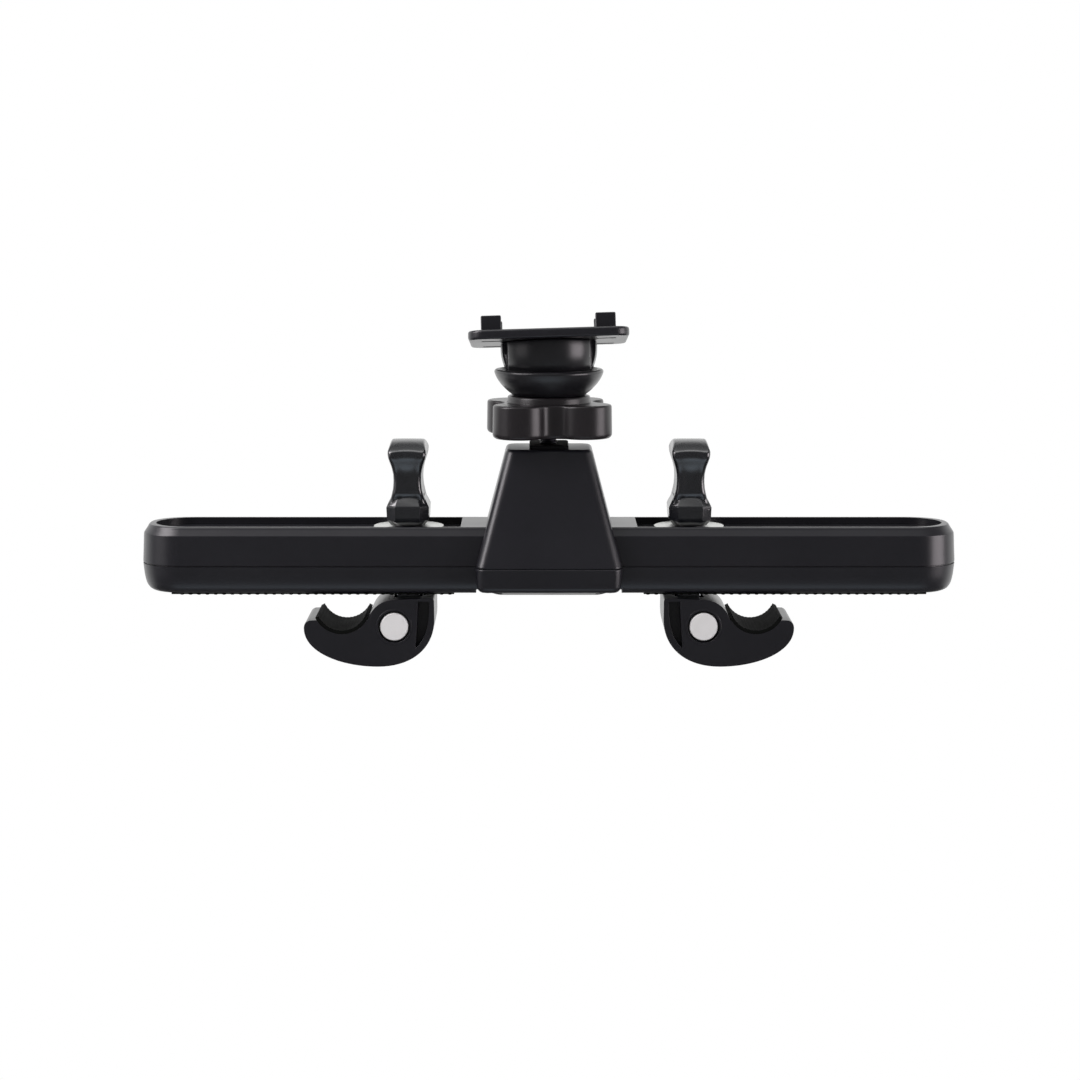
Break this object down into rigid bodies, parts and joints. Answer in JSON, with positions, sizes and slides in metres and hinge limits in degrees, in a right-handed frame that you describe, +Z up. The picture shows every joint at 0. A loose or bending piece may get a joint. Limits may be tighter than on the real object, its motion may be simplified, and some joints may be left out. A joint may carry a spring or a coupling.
{
  "type": "headrest tablet mount",
  "caption": "Rail with two sliding hook clamps for headrest posts, wing knobs, a central riser, a lobed clamp nut and a ball joint that carries a tab plate.",
  "frame": {"origin": "centre of the riser's foot, in the plane of the rail's underside", "axes": "+X along the rail to the right, +Y away from the front, +Z up from the rail's underside towards the tab plate"},
  "size_m": [0.22, 0.0384, 0.0954],
  "materials": {
    "moulded_black": "satin moulded plastic",
    "satin_black": "satin moulded plastic",
    "gloss_black": "polished",
    "nylon": "plain nylon",
    "rubber": "matt rubber",
    "steel": "zinc plated",
    "dark_steel": "black oxide",
    "bright_steel": "bright nickel plate",
    "brass": "turned"
  },
  "bodies": {
    "rail": {"upper_shell": "moulded_black", "lower_shell": "moulded_black", "left_grip_pad": "rubber", "right_grip_pad": "rubber", "shell_screws": "steel", "riser_tower": "moulded_black", "riser_base": "moulded_black", "riser_screws": "steel", "stem_collar": "moulded_black", "ball_stud": "dark_steel", "stud_nut": "steel", "socket_cup": "gloss_black", "friction_washer": "steel"},
    "clamp_nut": {"clamp_nut": "satin_black", "nut_insert": "brass"},
    "socket_liner": {"socket_liner": "nylon"},
    "ball": {"ball": "gloss_black", "plate_screw": "dark_steel"},
    "plate": {"tab_plate": "moulded_black"},
    "left_slider": {"left_disc": "bright_steel", "left_slide_block": "nylon"},
    "left_knob": {"left_wing_knob": "satin_black", "left_rod": "steel"},
    "left_carrier": {"left_carrier": "steel", "left_hook_pins": "bright_steel"},
    "left_hook": {"left_hook": "moulded_black", "left_cradle_pad": "rubber"},
    "right_slider": {"right_disc": "bright_steel", "right_slide_block": "nylon"},
    "right_knob": {"right_wing_knob": "satin_black", "right_rod": "steel"},
    "right_carrier": {"right_carrier": "steel", "right_hook_pins": "bright_steel"},
    "right_hook": {"right_hook": "moulded_black", "right_cradle_pad": "rubber"}
  },
  "joints": [
    {"name": "nut_turn", "type": "hinge", "parent": "rail", "child": "clamp_nut", "pos_m": [0, 0, 0.046], "axis": [0, 0, 1], "range_deg": [-270, 0]},
    {"name": "ball_swivel", "type": "hinge", "parent": "rail", "child": "socket_liner", "pos_m": [0, 0, 0.0651], "axis": [0, 0, 1], "continuous": true},
    {"name": "ball_tilt", "type": "hinge", "parent": "socket_liner", "child": "ball", "pos_m": [0, 0, 0.0651], "axis": [0.9751, 0.2215, 0], "range_deg": [-7, 22]},
    {"name": "plate_turn", "type": "hinge", "parent": "ball", "child": "plate", "pos_m": [0, 0, 0.0651], "axis": [-0.0297, 0.1307, 0.991], "continuous": true},
    {"name": "left_slide", "type": "slide", "parent": "rail", "child": "left_slider", "axis": [-1, 0, 0], "range_m": [-0.0035, 0.055]},
    {"name": "left_knob_turn", "type": "hinge", "parent": "left_slider", "child": "left_knob", "pos_m": [-0.038, 0, 0.018], "axis": [0, 0, 1], "range_deg": [0, 3600]},
    {"name": "left_hook_drop", "type": "slide", "parent": "left_slider", "child": "left_carrier", "axis": [0, 0, -1], "range_m": [0, 0.008]},
    {"name": "left_hook_rock", "type": "hinge", "parent": "left_carrier", "child": "left_hook", "pos_m": [-0.0416, 0, -0.009], "axis": [0, 1, 0], "range_deg": [-3, 3]},
    {"name": "right_slide", "type": "slide", "parent": "rail", "child": "right_slider", "axis": [1, 0, 0], "range_m": [-0.0035, 0.055]},
    {"name": "right_knob_turn", "type": "hinge", "parent": "right_slider", "child": "right_knob", "pos_m": [0.038, 0, 0.018], "axis": [0, 0, 1], "range_deg": [0, 3600]},
    {"name": "right_hook_drop", "type": "slide", "parent": "right_slider", "child": "right_carrier", "axis": [0, 0, -1], "range_m": [0, 0.008]},
    {"name": "right_hook_rock", "type": "hinge", "parent": "right_carrier", "child": "right_hook", "pos_m": [0.0416, 0, -0.009], "axis": [0, 1, 0], "range_deg": [-3, 3]}
  ],
  "couplings": [
    {"joint": "left_knob_turn", "follows": "left_hook_drop", "rad_per_m": 7853.9},
    {"joint": "right_knob_turn", "follows": "right_hook_drop", "rad_per_m": 7853.9}
  ]
}
